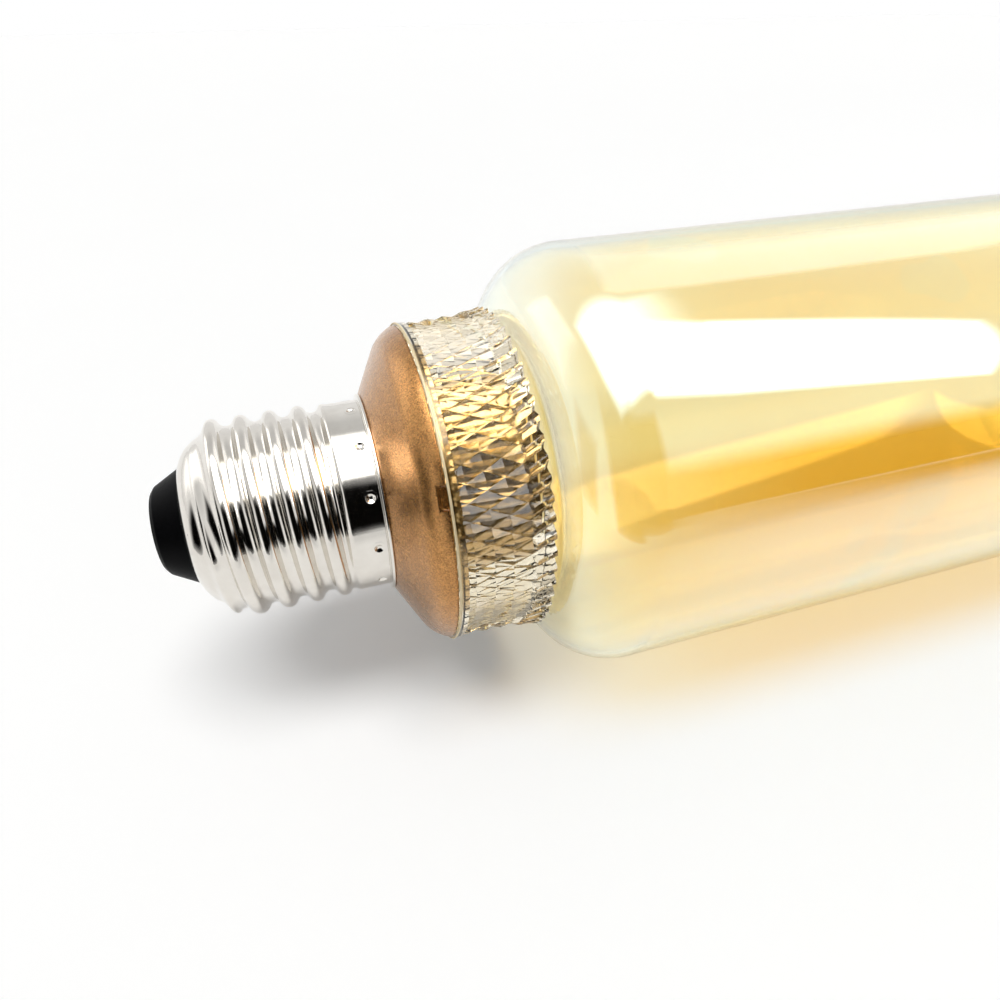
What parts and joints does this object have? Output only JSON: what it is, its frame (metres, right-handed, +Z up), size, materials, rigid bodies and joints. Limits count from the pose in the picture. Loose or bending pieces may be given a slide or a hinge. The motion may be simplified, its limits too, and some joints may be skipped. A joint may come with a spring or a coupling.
{
  "type": "led light bulb",
  "caption": "Tubular amber glass lamp with a faceted clear ring, a bronze skirt and a screw cap, lit by an LED board hidden in its base.",
  "frame": {"origin": "centre of the centre contact's outer face, on the lamp's axis", "axes": "+X along the lamp's axis from the cap to the closed glass end, +Z up as the lamp lies on a table"},
  "size_m": [0.185, 0.0602, 0.0602],
  "materials": {
    "contact_metal": "tinned brass",
    "black_insulator": "satin black",
    "nickel_shell": "bright nickel plate",
    "bronze_paint": "bronze metallic-flake paint",
    "clear_ring": "clear moulded plastic, faceted",
    "amber_glass": "amber lustre-coated clear glass",
    "amber_adhesive": "cured amber adhesive",
    "bare_aluminium": "rolled",
    "white_board": "white solder mask on an aluminium core",
    "phosphor": "yellow phosphor gel in a white frame",
    "green_board": "green solder mask",
    "black_moulding": "moulded epoxy",
    "capacitor_sleeve": "dark blue sleeve",
    "ferrite": "ferrite drum with a copper winding",
    "resistor_body": "lacquered ceramic",
    "white_wire": "insulated wire",
    "red_wire": "insulated wire",
    "black_wire": "insulated wire"
  },
  "bodies": {
    "root": {"centre_contact": "contact_metal", "insulator": "black_insulator", "screw_shell": "nickel_shell", "skirt": "bronze_paint", "crystal_ring": "clear_ring", "glass_envelope": "amber_glass", "neck_seal": "amber_adhesive", "heat_plate": "bare_aluminium", "led_board": "white_board", "led_emitters": "phosphor", "driver_board": "green_board", "bridge_rectifier": "black_moulding", "driver_chip": "black_moulding", "input_capacitor": "capacitor_sleeve", "output_capacitor": "capacitor_sleeve", "choke": "ferrite", "fuse_resistor": "resistor_body", "live_lead": "red_wire", "neutral_lead": "white_wire", "led_lead_positive": "red_wire", "led_lead_negative": "black_wire"}
  },
  "joints": []
}
